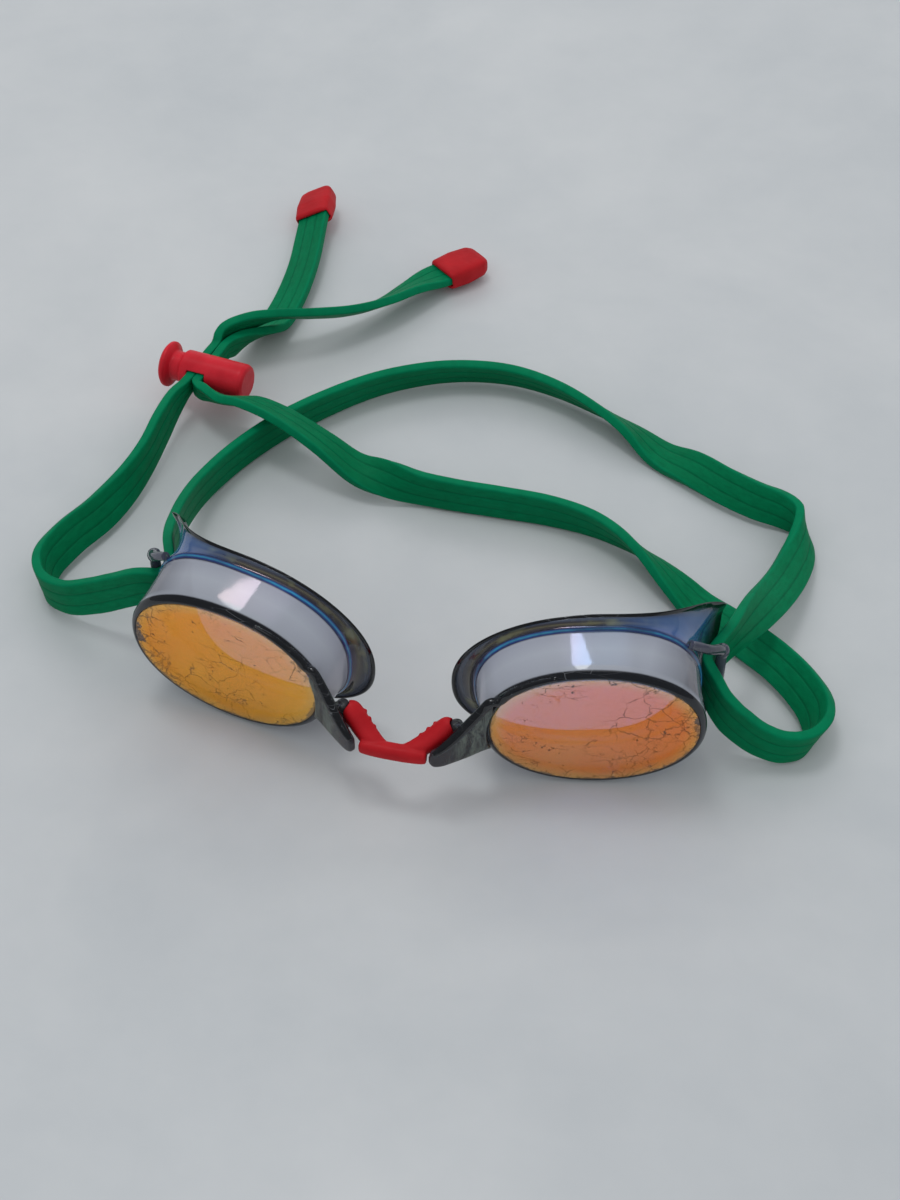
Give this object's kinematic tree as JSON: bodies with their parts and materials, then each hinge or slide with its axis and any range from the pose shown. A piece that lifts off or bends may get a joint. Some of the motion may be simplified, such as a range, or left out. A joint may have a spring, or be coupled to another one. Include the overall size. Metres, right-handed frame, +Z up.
{
  "type": "swim goggles",
  "caption": "Low-profile swim goggles: smoke eyecups with mirror panes, clip-in nose bridge, ribbed strap wrapped round side bars and a push-button cord lock.",
  "frame": {"origin": "on the resting plane, under the middle of the whole product's box; the middle between the two eyecups lies 4.9 mm to +X and 92.2 mm to -Y of it", "axes": "+X from the middle to the right-hand eyecup seen from the front, +Y from the panes back to the strap, +Z up"},
  "size_m": [0.1893, 0.2114, 0.0403],
  "materials": {
    "smoke_plastic": "glossy smoke polycarbonate, translucent",
    "mirror_gold": "semi-mirror gold-orange coating, scratched",
    "mirror_orange": "semi-mirror orange-red coating, scratched",
    "red_soft": "satin flexible polymer",
    "red_plastic": "smooth moulded plastic",
    "strap_rubber": "satin ribbed rubber",
    "spring_steel": "drawn wire"
  },
  "bodies": {
    "bridge_and_strap": {"nose_bridge": "red_soft", "head_strap": "strap_rubber", "strap_end_short": "red_soft", "strap_end_long": "red_soft"},
    "right_cup": {"right_eyecup": "smoke_plastic", "right_lens": "mirror_orange"},
    "left_cup": {"left_eyecup": "smoke_plastic", "left_lens": "mirror_gold"},
    "cord_lock": {"lock_barrel": "red_plastic", "lock_spring": "spring_steel"},
    "lock_button": {"lock_plunger": "red_plastic"}
  },
  "joints": [
    {"name": "right_cup_hinge", "type": "hinge", "parent": "bridge_and_strap", "child": "right_cup", "pos_m": [0.0172, -0.0982, 0.0165], "axis": [0, 0, 1], "range_deg": [-4, 8], "deforming": ["head_strap"]},
    {"name": "left_cup_hinge", "type": "hinge", "parent": "bridge_and_strap", "child": "left_cup", "pos_m": [-0.0074, -0.0982, 0.0165], "axis": [0, 0, -1], "range_deg": [-4, 8], "deforming": ["head_strap"]},
    {"name": "lock_slide", "type": "slide", "parent": "bridge_and_strap", "child": "cord_lock", "axis": [0.1495, 0.9888, 0], "range_m": [0, 0.004]},
    {"name": "button_press", "type": "slide", "parent": "cord_lock", "child": "lock_button", "axis": [0.9888, -0.1495, 0], "range_m": [0, 0.0026], "stiffness_N_per_m": 600, "springref_m": -0.002, "deforming": ["lock_spring"]}
  ]
}
